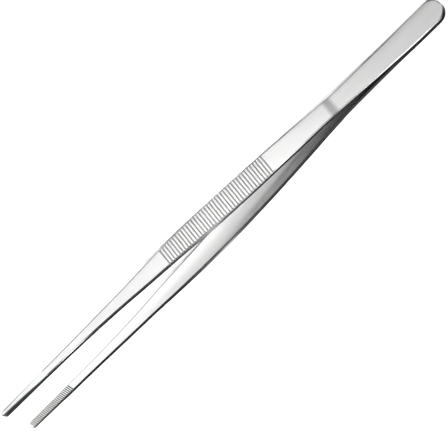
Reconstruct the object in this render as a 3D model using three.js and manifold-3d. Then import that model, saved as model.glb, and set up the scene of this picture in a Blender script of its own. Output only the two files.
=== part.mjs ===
// Long straight planting tweezers: two stainless steel leaves joined at the head by spot welds.
// Millimetres, +Z up. The tweezers lie on their side edges on the plane z = 0, +X points to the tips,
// and the arms open along Y. Lengths along the tool are counted from the butt end ("along").
import * as THREE from "three";
import { mergeVertices } from "three/addons/utils/BufferGeometryUtils.js";
import Module from "manifold-3d";

// Overall size
const LENGTH = 300;
const HALF_LENGTH = LENGTH / 2;
const WIDEST = 13;
const STEP_ALONG = 5;

// Head: the welded stretch of both leaves
const BUTT_ROUNDING = 6.5;
const LEAF_GAP = 0.05;
const WELD_PLACES = [9, 18];
const WELD_RADIUS = 2.4;
const WELD_HALF_THICKNESS = 0.45;
const WELD_CLEARANCE = 0.05;

// Each leaf is cut where its bending is centred, so that its arm can turn there.
const FLEX_PIVOT = 56.5;
const FLEX_CUT = 0.3;

// Ribbed grip on the outer faces
const GRIP_START = 116;
const GRIP_PITCH = 1.8;
const GRIP_GROOVES = 39;
const GRIP_GROOVE_WIDTH = 0.8;
const GRIP_GROOVE_DEPTH = 0.35;

// Toothed jaws on the inner faces, rounded behind
const JAW_START = 270.8;
const TOOTH_PITCH = 1.075;
const TEETH = 27;
const TOOTH_GROOVE_WIDTH = 0.7;
const TOOTH_GROOVE_DEPTH = 0.45;
const TOOTH_SLANT = THREE.MathUtils.degToRad(-15);
const TIP_ROUNDING = 2.1;
const BACK_ROUNDING_START = 270;
const BACK_RADIUS_AT_START = 3.05;
const BACK_RADIUS_AT_TIP = 2.46;

// A smooth rise or fall through the given stops, [along, value], level at a highest or lowest stop.
function smoothLine(stops) {
  const slopes = stops.map(([x, y], i) => {
    if (i === 0 || i === stops.length - 1) return 0;
    const [x0, y0] = stops[i - 1];
    const [x1, y1] = stops[i + 1];
    const before = (y - y0) / (x - x0);
    const after = (y1 - y) / (x1 - x);
    return before * after <= 0 ? 0 : (2 * before * after) / (before + after);
  });
  return (along) => {
    const last = stops.length - 2;
    const found = stops.findIndex((_, k) => k === last || along <= stops[k + 1][0]);
    const [x0, y0] = stops[found];
    const [x1, y1] = stops[found + 1];
    const span = x1 - x0;
    const t = THREE.MathUtils.clamp((along - x0) / span, 0, 1);
    const rise = (y1 - y0) * t * t * (3 - 2 * t);
    return y0 + rise + span * (slopes[found] * t * (1 - t) ** 2 - slopes[found + 1] * t * t * (1 - t));
  };
}

// Half the width of a leaf: wide head, narrow waist, wide grip, slender shank
const halfWidth = smoothLine([
  [0, WIDEST / 2], [14, WIDEST / 2], [40, 5.95], [75, 5.25], [102, 5.75], [136, 6.3],
  [150, 6.3], [172, 5.6], [194, 4.7], [216, 3.55], [240, 2.7], [264, 2.2], [LENGTH, 2.1],
]);

// Distance of the inner face from the middle plane between the arms
const innerOffset = smoothLine([
  [0, LEAF_GAP], [20, LEAF_GAP], [42, 0.65], [66, 2.15], [90, 4.05], [120, 6.7], [150, 8.9],
  [174, 10.6], [204, 11.8], [236, 12.85], [264, 13], [LENGTH, 13.05],
]);

// Thickness of a leaf, with a short ramp behind the spring stretch
const thickness = smoothLine([
  [0, 1.65], [20, 1.65], [60, 1.75], [71.8, 1.75], [76.2, 2.15], [120, 2.2], [170, 2.65],
  [216, 2.2], [262, 2.35], [LENGTH, 2.45],
]);

const outerOffset = (along) => innerOffset(along) + thickness(along);
const inFrame = (along) => along - HALF_LENGTH;

// Evenly spaced stops with the two ends exact
function stopsBetween(start, end, spacing) {
  const count = Math.ceil((end - start) / spacing);
  return Array.from({ length: count + 1 }, (_, i) => start + ((end - start) * i) / count);
}

const wasm = await Module();
wasm.setup();

function toSolid(geometry) {
  const bare = geometry.clone();
  bare.deleteAttribute("normal");
  bare.deleteAttribute("uv");
  const merged = mergeVertices(bare, 1e-4);
  const triVerts = new Uint32Array(merged.index.array);
  const vertProperties = merged.getAttribute("position").array;
  return new wasm.Manifold(new wasm.Mesh({ numProp: 3, vertProperties, triVerts }));
}

function toGeometry(solid) {
  const mesh = solid.getMesh();
  const geometry = new THREE.BufferGeometry();
  geometry.setAttribute("position", new THREE.BufferAttribute(mesh.vertProperties, 3));
  geometry.setIndex(new THREE.BufferAttribute(mesh.triVerts, 1));
  const flat = geometry.toNonIndexed();
  flat.computeVertexNormals();
  return flat;
}

function extruded(points, depth) {
  return new THREE.ExtrudeGeometry(new THREE.Shape(points), { depth, bevelEnabled: false });
}

// The leaf seen from the side, between its inner and outer faces, drawn through its full width
function sideSolid(start, end) {
  const stops = stopsBetween(start, end, STEP_ALONG);
  const inner = stops.map((along) => new THREE.Vector2(inFrame(along), innerOffset(along)));
  const outer = stops.map((along) => new THREE.Vector2(inFrame(along), outerOffset(along)));
  return toSolid(extruded([...inner, ...outer.reverse()], WIDEST));
}

// The leaf seen square on: a full elliptical butt, the waisted edges and a round tip
function outlineSolid() {
  const quarter = stopsBetween(0, Math.PI / 2, Math.PI / 20);
  const butt = quarter.slice(0, -1).map((angle) => [
    BUTT_ROUNDING * (1 - Math.cos(angle)),
    halfWidth(BUTT_ROUNDING) * Math.sin(angle),
  ]);
  const edge = stopsBetween(BUTT_ROUNDING, LENGTH - TIP_ROUNDING, STEP_ALONG).map((along) => [
    along,
    halfWidth(along),
  ]);
  const tip = quarter.slice(1).map((angle) => [
    LENGTH - TIP_ROUNDING * (1 - Math.sin(angle)),
    halfWidth(LENGTH) * Math.cos(angle),
  ]);
  const upper = [...butt, ...edge, ...tip];
  const lower = upper.slice(1, -1).reverse().map(([along, half]) => [along, -half]);
  const points = [...upper, ...lower].map(([along, half]) => new THREE.Vector2(inFrame(along), half));
  const plate = extruded(points, HALF_LENGTH / 4).rotateX(Math.PI / 2);
  return toSolid(plate.translate(0, HALF_LENGTH / 4 - 1, WIDEST / 2));
}

// Everything that lies inside the rounded back of the jaw: a plain block, then a slim cone on the inner face
function backRoundingSolid() {
  const start = inFrame(BACK_ROUNDING_START);
  const block = new THREE.BoxGeometry(LENGTH, HALF_LENGTH, 2 * WIDEST);
  block.translate(start - HALF_LENGTH, 0, WIDEST / 2);
  const from = new THREE.Vector2(start - 1, innerOffset(BACK_ROUNDING_START));
  const to = new THREE.Vector2(inFrame(LENGTH) + 1, innerOffset(LENGTH));
  const reach = to.clone().sub(from);
  const cone = new THREE.CylinderGeometry(BACK_RADIUS_AT_TIP, BACK_RADIUS_AT_START, reach.length(), 40);
  cone.rotateZ(reach.angle() - Math.PI / 2);
  cone.translate((from.x + to.x) / 2, (from.y + to.y) / 2, WIDEST / 2);
  return toSolid(block).add(toSolid(cone));
}

// A V-shaped cutter across the leaf: its point reaches `depth` below the face at `along`
function grooveCutter(along, face, intoLeaf, width, depth, slant) {
  const proud = depth;
  const halfMouth = (width / 2) * (1 + proud / depth);
  const triangle = [
    new THREE.Vector2(-halfMouth, -intoLeaf * proud),
    new THREE.Vector2(halfMouth, -intoLeaf * proud),
    new THREE.Vector2(0, intoLeaf * depth),
  ];
  const span = 2 * WIDEST;
  const ahead = 0.5;
  const pitch = Math.atan2(face(along + ahead) - face(along - ahead), 2 * ahead);
  const cutter = extruded(triangle, span).translate(0, 0, -span / 2);
  cutter.rotateY(slant).rotateZ(pitch).translate(inFrame(along), face(along), WIDEST / 2);
  return toSolid(cutter);
}

function withGripGrooves(leaf) {
  let cut = leaf;
  for (let i = 0; i < GRIP_GROOVES; i += 1) {
    const along = GRIP_START + i * GRIP_PITCH;
    cut = cut.subtract(grooveCutter(along, outerOffset, -1, GRIP_GROOVE_WIDTH, GRIP_GROOVE_DEPTH, 0));
  }
  return cut;
}

function withJawTeeth(leaf) {
  let cut = leaf;
  for (let i = 0; i < TEETH; i += 1) {
    const along = JAW_START + i * TOOTH_PITCH;
    cut = cut.subtract(
      grooveCutter(along, innerOffset, 1, TOOTH_GROOVE_WIDTH, TOOTH_GROOVE_DEPTH, TOOTH_SLANT),
    );
  }
  return cut;
}

// The fixed, welded end of a leaf, with a shallow pocket for half of each weld
function headLeaf() {
  let leaf = sideSolid(0, FLEX_PIVOT - FLEX_CUT / 2).intersect(outlineSolid());
  for (const along of WELD_PLACES) {
    leaf = leaf.subtract(toSolid(weldDisc(along, WELD_CLEARANCE)));
  }
  return toGeometry(leaf);
}

// The moving part of a leaf: spring stretch, ribbed grip, shank and toothed jaw
function movingArm() {
  const blank = sideSolid(FLEX_PIVOT + FLEX_CUT / 2, LENGTH).intersect(outlineSolid());
  return toGeometry(withJawTeeth(withGripGrooves(blank.intersect(backRoundingSolid()))));
}

function weldDisc(along, margin) {
  const radius = WELD_RADIUS + margin;
  const height = 2 * (WELD_HALF_THICKNESS + margin);
  return new THREE.CylinderGeometry(radius, radius, height, 32).translate(inFrame(along), 0, WIDEST / 2);
}

const satinSteel = { color: 0xcfcfcd, roughness: 0.32, metalness: 1 };
const weldSteel = { color: 0xa9a8a4, roughness: 0.6, metalness: 1 };

function addPart(group, name, geometry, finish, side) {
  const mesh = new THREE.Mesh(geometry, new THREE.MeshStandardMaterial(finish));
  mesh.name = name;
  mesh.scale.y = side;
  group.add(mesh);
}

const tweezers = new THREE.Group();
const headShape = headLeaf();
const armShape = movingArm();
for (const [name, side] of [["left", 1], ["right", -1]]) {
  addPart(tweezers, `${name}_arm_head`, headShape, satinSteel, side);
  addPart(tweezers, `${name}_arm`, armShape, satinSteel, side);
}
WELD_PLACES.forEach((along, i) => {
  addPart(tweezers, `spot_weld_${i + 1}`, weldDisc(along, 0), weldSteel, 1);
});

export default tweezers;
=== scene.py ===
"""Planting tweezers of satin steel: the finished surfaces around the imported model.

Shapes are worked out in millimetres and turned into metres when a mesh is made. `along` is the
distance from the butt end, `across` the distance from the middle of the blade's width, and `depth`
the distance from the blade's inner face towards its outer face.
"""
import math

import bmesh
import bpy
import numpy as np
from mathutils import Matrix, Vector


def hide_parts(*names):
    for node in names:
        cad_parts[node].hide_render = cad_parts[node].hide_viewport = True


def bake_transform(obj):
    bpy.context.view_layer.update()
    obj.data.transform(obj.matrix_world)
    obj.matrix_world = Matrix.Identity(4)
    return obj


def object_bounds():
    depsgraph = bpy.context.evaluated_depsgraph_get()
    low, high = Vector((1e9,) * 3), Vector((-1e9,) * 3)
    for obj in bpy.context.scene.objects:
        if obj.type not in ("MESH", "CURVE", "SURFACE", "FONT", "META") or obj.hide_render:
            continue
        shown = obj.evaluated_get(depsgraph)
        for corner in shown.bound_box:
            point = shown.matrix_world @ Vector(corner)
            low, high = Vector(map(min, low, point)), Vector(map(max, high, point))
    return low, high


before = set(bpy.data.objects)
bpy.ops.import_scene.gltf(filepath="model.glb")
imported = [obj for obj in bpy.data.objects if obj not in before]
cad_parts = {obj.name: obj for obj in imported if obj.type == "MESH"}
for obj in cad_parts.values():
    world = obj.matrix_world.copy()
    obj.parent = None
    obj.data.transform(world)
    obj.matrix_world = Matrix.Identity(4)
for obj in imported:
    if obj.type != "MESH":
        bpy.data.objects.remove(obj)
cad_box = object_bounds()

MM = 0.001

# Overall size of a leaf
LENGTH = 300.0
HALF_LENGTH = LENGTH / 2
HEAD_HALF_WIDTH = 6.5
MIDDLE_HEIGHT = 6.5
BUTT_ROUNDING = 6.5
TIP_RADIUS = 2.1
TIP_CENTRE = LENGTH - TIP_RADIUS

# Grip ribs on the outer face
GRIP_START = 116.0
GRIP_PITCH = 1.8
GRIP_GROOVES = 39
GRIP_END = GRIP_START + GRIP_GROOVES * GRIP_PITCH
GRIP_GROOVE_WIDTH = 0.75
GRIP_GROOVE_DEPTH = 0.32
GRIP_ROW = (GRIP_START, GRIP_PITCH, GRIP_GROOVES, GRIP_GROOVE_WIDTH)

# Jaw teeth on the inner face
JAW_START = 270.8
TOOTH_PITCH = 1.075
TEETH = 27
TOOTH_GROOVE_WIDTH = 0.7
TOOTH_GROOVE_DEPTH = 0.42
TOOTH_SLANT = -math.tan(math.radians(15))
TOOTH_ROW = (JAW_START, TOOTH_PITCH, TEETH, TOOTH_GROOVE_WIDTH)

# Ramp where the spring stretch thickens into the handle. Its painted shade, a darker band across
# the ramp, fades out between these two distances from its middle, and the shaded material ends a
# little further out.
RAMP_START = 71.8
RAMP_END = 76.2
RAMP_MIDDLE = (RAMP_START + RAMP_END) / 2
RAMP_SHADE_FADE = (1.0, 3.2)
RAMP_SHADE_REACH = RAMP_SHADE_FADE[1] + 1

# Painted light on the inner faces: darker near the head, where shade falls between the arms, they
# turn brighter between these two places
INSIDE_PAINTED_LIGHT = (95.0, 160.0)

# From here to the tip the back of the jaw is rounded, with a fine edge where it meets the side
BACK_START = 269.5
BACK_EDGE = 0.42

# The upper outer edge of the head has a painted highlight, a brighter tone which fades between these
# two places and ends just after them
BEVEL_HIGHLIGHT_FADE = (36.0, 64.0)
BEVEL_HIGHLIGHT_END = 66.0

# Mesh fineness round the blade: points across a face, steps round the outer edge, round the fine
# edge at the end of the jaw's rounded back, and round the inner edge
FACE_COLUMNS = (0.0, 0.02, 0.2, 0.4, 0.6, 0.8, 0.98, 1.0)
BEVEL_STEPS = 8
BACK_EDGE_STEPS = 3
INNER_STEPS = 3

# Mesh fineness along the blade: cross lines in a groove, as shares of its width, at each round end,
# and on the plain stretches. Lines closer than CLOSEST_LINES are left out.
GROOVE_SHARES = (-0.5, -0.32, -0.14, 0.0, 0.14, 0.32, 0.5)
END_LINES = 19
SPRING_LINES_FROM = 7.0
SPRING_LINES_TO = 70.0
HANDLE_LINES_FROM = 82.0
PLAIN_SPACING = 3.0
RAMP_SPACING = 1.0
SHANK_SPACING = 2.5
CLOSEST_LINES = 0.004

# Small steps of the working: for a slope, for solving where a slanted line meets the edge, and for
# what counts as zero
SLOPE_STEP = 0.1
SOLVING_ROUNDS = 6
NEARLY_ZERO = 1e-9

# Points closer than this, in metres, become one, and edges sharper than this angle look sharp
MERGE_DISTANCE = 2e-7
SHARP_ANGLE = math.radians(28)

# Strips of the blade's skin are numbered from 0 on the outer face, round the edge, to the inner face
FACE_STRIPS = len(FACE_COLUMNS) - 1
SIDE_WALL = (BEVEL_STEPS + 1, BEVEL_STEPS + 2)
SIDE_STRIPS = SIDE_WALL[1] + INNER_STEPS
INNER_FACE = SIDE_STRIPS + 1

# The last strip that the rib grooves' painted shade reaches, and the first strips that the edges'
# painted shade takes at the round tip and at the upper and lower side of the jaw's back
RIB_WRAP = 4
TIP_EDGE_FROM = 6
UPPER_BACK_EDGE_FROM = 4
LOWER_BACK_EDGE_FROM = 3


def smooth_line(stops):
    """A smooth rise or fall through (along, value) stops, level at a highest or lowest stop."""
    xs = np.array([x for x, _ in stops], float)
    ys = np.array([y for _, y in stops], float)
    steps = np.diff(ys) / np.diff(xs)
    slopes = np.zeros(len(xs))
    for i in range(1, len(xs) - 1):
        before, after = steps[i - 1], steps[i]
        slopes[i] = 0.0 if before * after <= 0 else 2 * before * after / (before + after)

    def value(along):
        k = int(np.clip(np.searchsorted(xs, along) - 1, 0, len(steps) - 1))
        span = xs[k + 1] - xs[k]
        t = min(max((along - xs[k]) / span, 0.0), 1.0)
        bend = slopes[k] * t * (1 - t) ** 2 - slopes[k + 1] * t * t * (1 - t)
        return ys[k] + (ys[k + 1] - ys[k]) * t * t * (3 - 2 * t) + span * bend

    return value


# Half the width of a leaf: wide head, narrow waist, wide grip, slender shank
half_width = smooth_line([
    (0, 6.5), (14, 6.5), (40, 5.8), (75, 5.08), (102, 5.82), (136, 6.4), (150, 6.4),
    (172, 5.72), (194, 4.82), (216, 3.67), (240, 2.8), (264, 2.25), (300, 2.1),
])
# Distance of the inner face from the middle plane between the arms
inner_offset = smooth_line([
    (0, 0.01), (20, 0.01), (42, 0.65), (66, 2.15), (90, 4.05), (120, 6.7), (150, 8.9),
    (174, 10.6), (204, 11.8), (236, 12.85), (264, 13.0), (300, 13.05),
])
thickness = smooth_line([
    (0, 1.88), (20, 1.88), (60, 1.92), (RAMP_START, 1.92), (RAMP_END, 2.3), (120, 2.35),
    (170, 2.8), (216, 2.35), (262, 2.45), (300, 2.45),
])
# Radius of the outer and inner edges, and of the rounded back of the jaw about its inner face
outer_edge = smooth_line([(0, 0.55), (50, 0.55), (75, 0.6), (190, 0.6), (215, 0.75), (300, 0.75)])
inner_edge = smooth_line([
    (0, 0.06), (24, 0.06), (45, 0.5), (100, 0.55), (240, 0.55), (266, 0.4), (300, 0.4),
])
back_radius = smooth_line([(BACK_START, 3.06), (283, 2.67), (293, 2.5), (300, 2.46)])
# How much of the teeth's slant the cross lines have
slant_share = smooth_line([(0, 0), (258, 0), (269, 1), (300, 1)])


# ---------------------------------------------------------------- the shape of a blade

def groove_stations(start, pitch, count, width):
    """Cross lines through a row of grooves: both edges of each, its floor, and stops between."""
    return [start + i * pitch + width * share for i in range(count) for share in GROOVE_SHARES]


def stations():
    """Every cross line of the blade, from the butt to the last one, which only touches the tip."""
    turn = np.linspace(0, math.pi / 2, END_LINES)
    last = TIP_CENTRE + TIP_RADIUS * math.hypot(1, TOOTH_SLANT)
    butt = BUTT_ROUNDING * (1 - np.cos(turn))
    tip_from = JAW_START + TEETH * TOOTH_PITCH
    tip = tip_from + (last - tip_from) * np.sin(turn)
    grip = groove_stations(*GRIP_ROW)
    teeth = groove_stations(*TOOTH_ROW)
    spring = np.arange(SPRING_LINES_FROM, SPRING_LINES_TO, PLAIN_SPACING)
    ramp = np.arange(RAMP_START - 2, RAMP_END + 3, RAMP_SPACING)
    handle = np.arange(HANDLE_LINES_FROM, grip[0] - 1, PLAIN_SPACING)
    shank = np.arange(grip[-1] + 1.5, teeth[0] - 1, SHANK_SPACING)
    wanted = sorted([*butt, *spring, *ramp, *handle, *grip, *shank, *teeth, *tip])
    kept = [wanted[0]]
    for place in wanted[1:]:
        if place - kept[-1] > CLOSEST_LINES:
            kept.append(place)
    kept[-1] = last
    return kept


def hollow(place, row, depth):
    """Depth, at a cross line, of a row of round-bottomed grooves that are `depth` deep."""
    start, pitch, count, width = row
    i = round((place - start) / pitch)
    if not 0 <= i < count:
        return 0.0
    share = abs(place - start - i * pitch) / (width / 2)
    return depth * max(0.0, 1 - share ** 2)


def edge_point(place, slant, side):
    """Where a cross line meets one edge: along, across, and the edge's outward direction."""
    if place < BUTT_ROUNDING:
        left = 1 - place / BUTT_ROUNDING
        across = side * HEAD_HALF_WIDTH * math.sqrt(max(0.0, 1 - left ** 2))
        out = Vector((-left / BUTT_ROUNDING, across / HEAD_HALF_WIDTH ** 2)).normalized()
        return place, across, out
    past = place - TIP_CENTRE
    root = (TIP_RADIUS ** 2) * (1 + slant ** 2) - past ** 2
    if root < NEARLY_ZERO:
        root = 0.0
    across = (side * math.sqrt(root) - slant * past) / (1 + slant ** 2)
    along = place + slant * across
    if along >= TIP_CENTRE:
        return along, across, Vector((along - TIP_CENTRE, across)).normalized()
    for _ in range(SOLVING_ROUNDS):
        across = side * half_width(place + slant * across)
    along = place + slant * across
    rise = half_width(along + SLOPE_STEP) - half_width(along - SLOPE_STEP)
    slope = rise / (2 * SLOPE_STEP)
    return along, across, Vector((-slope, side)).normalized()


def quarter_turn(steps):
    """Angles of an edge rounding, from the face to the side."""
    return [math.pi / 2 * k / steps for k in range(steps + 1)]


def plain_corner(edge, thick):
    """Points of the small rounding from the outer face to the side."""
    along, across, out = edge
    radius = outer_edge(along)
    corner = []
    for angle in quarter_turn(BEVEL_STEPS):
        inset = radius * (1 - math.sin(angle))
        drop = radius * (1 - math.cos(angle))
        corner.append((along - inset * out.x, across - inset * out.y, thick - drop))
    return corner


def jaw_corner(edge, thick):
    """Points of the jaw's rounded back, from the outer face to the side, and of its fine edge."""
    along, across, out = edge
    half = half_width(min(along, LENGTH))
    radius = back_radius(min(along, LENGTH))
    first = math.acos(min(1.0, thick / radius))
    last = math.asin((half - BACK_EDGE) / radius)
    steps = BEVEL_STEPS - BACK_EDGE_STEPS
    turn = [first + (last - first) * k / steps for k in range(steps + 1)]
    drops = [(half - radius * math.sin(angle), 0.0) for angle in turn]
    for angle in quarter_turn(BACK_EDGE_STEPS)[1:]:
        drops.append((BACK_EDGE * (1 - math.sin(angle)), BACK_EDGE * (1 - math.cos(angle))))
    corner = []
    for inset, drop in drops:
        off_middle = across - inset * out.y
        round_depth = math.sqrt(max(0.0, radius ** 2 - off_middle ** 2))
        corner.append((along - inset * out.x, off_middle, min(thick, round_depth) - drop))
    return corner


def side_ring(edge, thick):
    """One side of a cross line, from the outer face round the edge to the inner face."""
    along, across, out = edge
    ring = plain_corner(edge, thick) if along < BACK_START else jaw_corner(edge, thick)
    small = inner_edge(along)
    ring.append((along, across, (ring[-1][2] + small) / 2))
    for angle in quarter_turn(INNER_STEPS):
        inset = small * (1 - math.cos(angle))
        ring.append((along - inset * out.x, across - inset * out.y, small * (1 - math.sin(angle))))
    return ring


def straight_between(start, end):
    """Points across a face, from one edge to the other."""
    return [tuple(a + (b - a) * share for a, b in zip(start, end)) for share in FACE_COLUMNS]


def cross_loop(place):
    """All points of one cross line, once round the blade."""
    slant = TOOTH_SLANT * slant_share(min(place, LENGTH))
    thick = thickness(min(place, LENGTH))
    upper = side_ring(edge_point(place, slant, 1), thick)
    lower = side_ring(edge_point(place, slant, -1), thick)
    outer_face = straight_between(lower[0], upper[0])
    inner_face = straight_between(upper[-1], lower[-1])
    grip = hollow(place, GRIP_ROW, GRIP_GROOVE_DEPTH)
    tooth = hollow(place, TOOTH_ROW, TOOTH_GROOVE_DEPTH)
    loop = [*outer_face, *upper[1:-1], *inner_face, *lower[-2:0:-1]]
    return [(along, across, min(max(depth, tooth), thick - grip)) for along, across, depth in loop]


# ---------------------------------------------------------------- which material lies where, with its painted shade and highlights

# Material numbers: besides the plain steel, the rib and tooth grooves carry painted shade, the tooth
# lands a painted highlight, the ramp a painted shade band, the side walls and roundings painted
# shade, darker on the lower side, the inner face painted light and the head's upper edge a painted
# highlight.
PLAIN, RIB_GROOVE, TOOTH_GROOVE, RAMP, EDGE, TOOTH, INNER, BEVEL, SHADED_LOWER_EDGE = range(9)


def strips_round(k):
    """How far strip k of the loop lies round the blade, from 0 to INNER_FACE."""
    if k < FACE_STRIPS:
        return 0
    if k < FACE_STRIPS + SIDE_STRIPS:
        return k - FACE_STRIPS + 1
    return min(INNER_FACE, 2 * (FACE_STRIPS + SIDE_STRIPS) - k)


def face_finish(middle, round_by):
    """Material of the ribs, the teeth, the ramp and the inner face, or None elsewhere: painted shade
    in the rib and tooth grooves and across the ramp, a painted highlight on the tooth lands, and
    painted light along the inner face.
    """
    if round_by <= RIB_WRAP and hollow(middle, GRIP_ROW, 1.0) > 0:
        return RIB_GROOVE
    if round_by == 0 and abs(middle - RAMP_MIDDLE) < RAMP_SHADE_REACH:
        return RAMP
    if round_by < INNER_FACE:
        return None
    if middle <= JAW_START - TOOTH_PITCH:
        return INNER
    return TOOTH_GROOVE if hollow(middle, TOOTH_ROW, 1.0) > 0 else TOOTH


def edge_finish(middle, round_by, upper):
    """Material of the outer face, the roundings and the side walls: painted shade on the walls and
    roundings, darker on the lower side, and a painted highlight on the head's upper edge.
    """
    on_wall = round_by in SIDE_WALL
    if middle > TIP_CENTRE:
        return PLAIN if round_by < TIP_EDGE_FROM or on_wall else EDGE
    back_edge_from = UPPER_BACK_EDGE_FROM if upper else LOWER_BACK_EDGE_FROM
    if round_by < (1 if middle < BACK_START else back_edge_from):
        return PLAIN
    if on_wall:
        return EDGE
    inside_wall = round_by > SIDE_WALL[1]
    if upper:
        return BEVEL if middle < BEVEL_HIGHLIGHT_END and not inside_wall else EDGE
    return SHADED_LOWER_EDGE if middle > GRIP_END or inside_wall else EDGE


def finish_of(middle, k):
    """Material index of strip k of the loop, at a place along the blade."""
    round_by = strips_round(k)
    upper = k < FACE_STRIPS + SIDE_STRIPS
    finish = face_finish(middle, round_by)
    return edge_finish(middle, round_by, upper) if finish is None else finish


def blade_mesh(name, side):
    """One whole arm, butt to tip, as a closed mesh on one side of the middle plane."""
    places = stations()
    mesh = bmesh.new()
    rest = mesh.verts.layers.float_vector.new("rest")
    rows = []
    for place in places:
        row = []
        for along, across, depth in cross_loop(place):
            away = inner_offset(min(along, LENGTH)) + depth
            spot = Vector((along - HALF_LENGTH, side * away, MIDDLE_HEIGHT + across)) * MM
            vertex = mesh.verts.new(spot)
            vertex[rest] = Vector((along, across, depth)) * MM
            row.append(vertex)
        rows.append(row)
    count = len(rows[0])
    for i, (first, second) in enumerate(zip(rows, rows[1:])):
        middle = (places[i] + places[i + 1]) / 2
        for k in range(count):
            corners = [first[k], first[(k + 1) % count], second[(k + 1) % count], second[k]]
            face = mesh.faces.new(corners if side > 0 else corners[::-1])
            face.material_index = finish_of(middle, k)
    bmesh.ops.remove_doubles(mesh, verts=mesh.verts, dist=MERGE_DISTANCE)
    bmesh.ops.recalc_face_normals(mesh, faces=mesh.faces)
    data = bpy.data.meshes.new(name)
    mesh.to_mesh(data)
    mesh.free()
    data.shade_smooth()
    data.set_sharp_from_angle(angle=SHARP_ANGLE)
    piece = bpy.data.objects.new(name, data)
    bpy.context.collection.objects.link(piece)
    return piece


# ---------------------------------------------------------------- materials

# Noise stretched along the blade: fine streaks of the brushing, and faint clouds in its tone
STREAKS = (12.0, 900.0, 900.0)
CLOUDS = (60.0, 160.0, 160.0)
GRAIN_DETAIL = 3.0
GRAIN_STRENGTH = 0.05
GRAIN_DEPTH = 0.02 * MM

# How blue the steel is, against its red and green
BLUE_SHARE = 0.995

WELD_TONE = (0.5, 0.49, 0.47, 1)
WELD_ROUGHNESS = (0.45, 0.7)
WELD_NOISE_SCALE = 900.0


def new_material(name):
    """A new material, its node tree and its shader node."""
    made = bpy.data.materials.new(name)
    made.use_nodes = True
    return made, made.node_tree, made.node_tree.nodes["Principled BSDF"]


def rest_place(tree):
    """The rest position kept on the mesh: along, across and depth, in metres."""
    place = tree.nodes.new("ShaderNodeAttribute")
    place.attribute_name = "rest"
    return place.outputs["Vector"]


def grain(tree, stretch):
    """Fine noise drawn out along the blade."""
    squeeze = tree.nodes.new("ShaderNodeMapping")
    squeeze.inputs["Scale"].default_value = stretch
    tree.links.new(rest_place(tree), squeeze.inputs["Vector"])
    noise = tree.nodes.new("ShaderNodeTexNoise")
    noise.inputs["Scale"].default_value = 1.0
    noise.inputs["Detail"].default_value = GRAIN_DETAIL
    tree.links.new(squeeze.outputs["Vector"], noise.inputs["Vector"])
    return noise.outputs["Fac"]


def mapped(tree, source, low, high, start=0.3, end=0.7):
    """A value that runs from start to end, as noise mostly does, mapped to run from low to high."""
    made = tree.nodes.new("ShaderNodeMapRange")
    made.inputs["From Min"].default_value = start
    made.inputs["From Max"].default_value = end
    made.inputs["To Min"].default_value = low
    made.inputs["To Max"].default_value = high
    tree.links.new(source, made.inputs["Value"])
    return made.outputs["Result"]


def fade_share(tree, middle, near, far):
    """0 up to the distance `near` from `middle` along the blade, 1 from the distance `far` on."""
    split = tree.nodes.new("ShaderNodeSeparateXYZ")
    tree.links.new(rest_place(tree), split.inputs["Vector"])
    offset = tree.nodes.new("ShaderNodeMath")
    offset.operation = "SUBTRACT"
    offset.inputs[1].default_value = middle * MM
    tree.links.new(split.outputs["X"], offset.inputs[0])
    away = tree.nodes.new("ShaderNodeMath")
    away.operation = "ABSOLUTE"
    tree.links.new(offset.outputs[0], away.inputs[0])
    return mapped(tree, away.outputs[0], 0, 1, near * MM, far * MM)


def brushed(name, tones, roughness, grazing=1.0, fade=None):
    """Steel with a fine lengthwise grain.

    Its tone wanders between the two `tones`, or runs from the first to the second one along `fade`,
    which is a middle place and two distances from it. `roughness` is its least and most roughness,
    and `grazing` tints what it reflects where it turns away from the eye.
    """
    made, tree, shader = new_material(name)
    shader.inputs["Metallic"].default_value = 1.0
    shader.inputs["Specular Tint"].default_value = (grazing, grazing, grazing, 1)
    streaks = grain(tree, STREAKS)
    tree.links.new(mapped(tree, streaks, *roughness), shader.inputs["Roughness"])
    tone = tree.nodes.new("ShaderNodeMix")
    tone.data_type = "RGBA"
    for socket, value in zip(("A", "B"), tones):
        tone.inputs[socket].default_value = (value, value, value * BLUE_SHARE, 1)
    share = fade_share(tree, *fade) if fade else grain(tree, CLOUDS)
    tree.links.new(share, tone.inputs["Factor"])
    tree.links.new(tone.outputs["Result"], shader.inputs["Base Color"])
    bump = tree.nodes.new("ShaderNodeBump")
    bump.inputs["Strength"].default_value = GRAIN_STRENGTH
    bump.inputs["Distance"].default_value = GRAIN_DEPTH
    tree.links.new(streaks, bump.inputs["Height"])
    tree.links.new(bump.outputs["Normal"], shader.inputs["Normal"])
    return made


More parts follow.
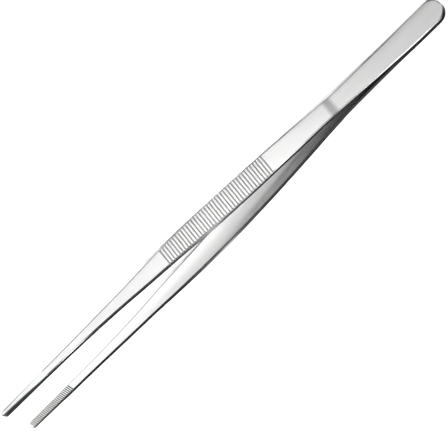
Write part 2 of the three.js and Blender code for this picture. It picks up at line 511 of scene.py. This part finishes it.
def blade_finishes():
    """The materials of a blade, in the order of their numbers: plain satin steel, and copies of it
    with painted shade and painted highlights.
    """
    satin = (0.17, 0.23)
    return [
        brushed("satin_steel_finish", (0.41, 0.45), satin),
        # Painted shade: the rib grooves are darker than the plain steel, where shade falls in them
        brushed("rib_groove_painted_shade", (0.20, 0.25), (0.4, 0.5)),
        # Painted shade: the tooth grooves are nearly black
        brushed("tooth_groove_painted_shade", (0.02, 0.03), (0.5, 0.6)),
        # Painted shade: a darker band across the ramp, fading out from its middle
        brushed("ramp_painted_shade", (0.24, 0.43), satin, fade=(RAMP_MIDDLE, *RAMP_SHADE_FADE)),
        # Painted shade: the side walls and roundings are dark, and darker still where they turn away
        # from the eye
        brushed("side_edge_painted_shade", (0.14, 0.18), (0.16, 0.22), grazing=0.12),
        # Painted highlight: the tooth lands are much lighter than the plain steel
        brushed("tooth_land_painted_highlight", (0.80, 0.85), (0.15, 0.2)),
        # Painted light: the inner faces are darker near the head, where shade falls between the
        # arms, and lighter towards the tips
        brushed("inner_face_painted_light", (0.41, 0.58), satin, fade=(0, *INSIDE_PAINTED_LIGHT)),
        # Painted highlight: a bright line on the head's upper outer edge, fading out along the blade
        brushed("bevel_painted_highlight", (0.42, 0.16), satin, fade=(0, *BEVEL_HIGHLIGHT_FADE)),
        # Painted shade: the lower roundings are near black, and darker still where they turn away
        # from the eye
        brushed("lower_edge_painted_shade", (0.03, 0.05), (0.3, 0.4), grazing=0.1),
    ]


def weld_steel():
    """Dull fused steel, unevenly rough."""
    made, tree, shader = new_material("weld_steel_finish")
    shader.inputs["Metallic"].default_value = 1.0
    place = tree.nodes.new("ShaderNodeTexCoord")
    noise = tree.nodes.new("ShaderNodeTexNoise")
    noise.inputs["Scale"].default_value = WELD_NOISE_SCALE
    tree.links.new(place.outputs["Object"], noise.inputs["Vector"])
    roughness = mapped(tree, noise.outputs["Fac"], *WELD_ROUGHNESS)
    tree.links.new(roughness, shader.inputs["Roughness"])
    shader.inputs["Base Color"].default_value = WELD_TONE
    return made


# ---------------------------------------------------------------- the tweezers

def build_blades():
    """Both arms, each one piece from the butt to the tip, in place of the imported arm and head."""
    finishes = blade_finishes()
    for name, side in (("left", 1), ("right", -1)):
        arm = blade_mesh(f"{name}_blade", side)
        for finish in finishes:
            arm.data.materials.append(finish)
        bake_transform(arm)
        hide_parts(f"{name}_arm", f"{name}_arm_head")


def finish_welds():
    """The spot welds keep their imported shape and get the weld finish."""
    weld = weld_steel()
    for node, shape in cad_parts.items():
        if node.startswith("spot_weld"):
            shape.data.materials.clear()
            shape.data.materials.append(weld)


# ---------------------------------------------------------------- floor, light and camera

# The floor lies just below the tweezers, so that the two don't touch
FLOOR_SIZE = 8.0
FLOOR_TONE = (0.86, 0.86, 0.86, 1)
FLOOR_ROUGHNESS = 0.8
FLOOR_DROP = 0.05 * MM

WORLD_STRENGTH = 0.16

# Each light: name, place, the point it faces, width and height in metres, power in watts
LIGHTS = [
    ("overhead_softbox", (-0.22, 0.05, 0.75), (-0.17, 0.02, 0), (1.0, 0.7), 3.8),
    ("tip_end_softbox", (0.85, 0.03, 0.55), (0.05, 0.03, 0), (0.7, 0.6), 15.4),
    ("head_softbox", (-0.05, -0.36, 0.23), (-0.12, 0, 0), (0.09, 0.4), 1.0),
    ("grip_softbox", (-0.012, -0.07, 0.07), (-0.012, -0.02, 0), (0.09, 0.03), 0.115),
    ("jaw_softbox", (0.118, -0.07, 0.05), (0.13, -0.026, 0), (0.02, 0.03), 0.048),
    ("back_card_wide", (0.055, 0.204, 0.136), (0.01, 0, 0.01), (0.075, 0.1), 0.016),
    ("back_card_narrow", (0.056, 0.195, 0.136), (0.01, 0, 0.01), (0.02, 0.08), 0.024),
]

# A long lens looks down on the near arm's outer face, rolled so that the tips point down left.
# Its distance and target are in metres, its focal length and sensor width in millimetres.
CAMERA_AZIMUTH = math.radians(-10.84)
CAMERA_ELEVATION = math.radians(29.56)
CAMERA_ROLL = math.radians(-140.89)
CAMERA_DISTANCE = 1.5
CAMERA_TARGET = Vector((0.0027, 0.0003, 0.0079))
CAMERA_LENS = 242.2
CAMERA_SENSOR = 36.0


def build_floor():
    """A plain pale floor."""
    mesh = bpy.data.meshes.new("studio_floor")
    half = FLOOR_SIZE / 2
    corners = [(-half, -half, 0), (half, -half, 0), (half, half, 0), (-half, half, 0)]
    mesh.from_pydata(corners, [], [(0, 1, 2, 3)])
    made, _, shader = new_material("studio_floor_paint")
    shader.inputs["Base Color"].default_value = FLOOR_TONE
    shader.inputs["Roughness"].default_value = FLOOR_ROUGHNESS
    mesh.materials.append(made)
    floor = bpy.data.objects.new("studio_floor", mesh)
    floor.location.z = cad_box[0][2] - FLOOR_DROP
    bpy.context.collection.objects.link(floor)


def area_light(name, place, target, size, power):
    """A rectangular light that faces its target and isn't seen itself."""
    data = bpy.data.lights.new(name, "AREA")
    data.shape = "RECTANGLE"
    data.size, data.size_y = size
    data.energy = power
    lamp = bpy.data.objects.new(name, data)
    lamp.location = place
    lamp.visible_camera = False
    lamp.rotation_euler = (Vector(target) - Vector(place)).to_track_quat("-Z", "Y").to_euler()
    bpy.context.collection.objects.link(lamp)


def build_world():
    """A faint even white light from all round."""
    world = bpy.data.worlds.new("studio")
    bpy.context.scene.world = world
    world.use_nodes = True
    back = world.node_tree.nodes["Background"]
    back.inputs["Color"].default_value = (1, 1, 1, 1)
    back.inputs["Strength"].default_value = WORLD_STRENGTH


def build_camera():
    """The camera, turned to its target and rolled."""
    data = bpy.data.cameras.new("camera")
    data.sensor_width = CAMERA_SENSOR
    data.lens = CAMERA_LENS
    away = Vector((
        math.sin(CAMERA_AZIMUTH) * math.cos(CAMERA_ELEVATION),
        -math.cos(CAMERA_AZIMUTH) * math.cos(CAMERA_ELEVATION),
        math.sin(CAMERA_ELEVATION),
    ))
    level_up = (Vector((0, 0, 1)) - away * away.z).normalized()
    level_right = level_up.cross(away)
    up = level_up * math.cos(CAMERA_ROLL) + level_right * math.sin(CAMERA_ROLL)
    right = up.cross(away)
    camera = bpy.data.objects.new("camera", data)
    turned = Matrix((right, up, away)).transposed().to_4x4()
    camera.matrix_world = Matrix.Translation(CAMERA_TARGET + away * CAMERA_DISTANCE) @ turned
    bpy.context.collection.objects.link(camera)
    bpy.context.scene.camera = camera


build_camera()
build_blades()
finish_welds()
build_floor()
for light in LIGHTS:
    area_light(*light)
build_world()
bpy.context.scene.view_settings.view_transform = "Standard"
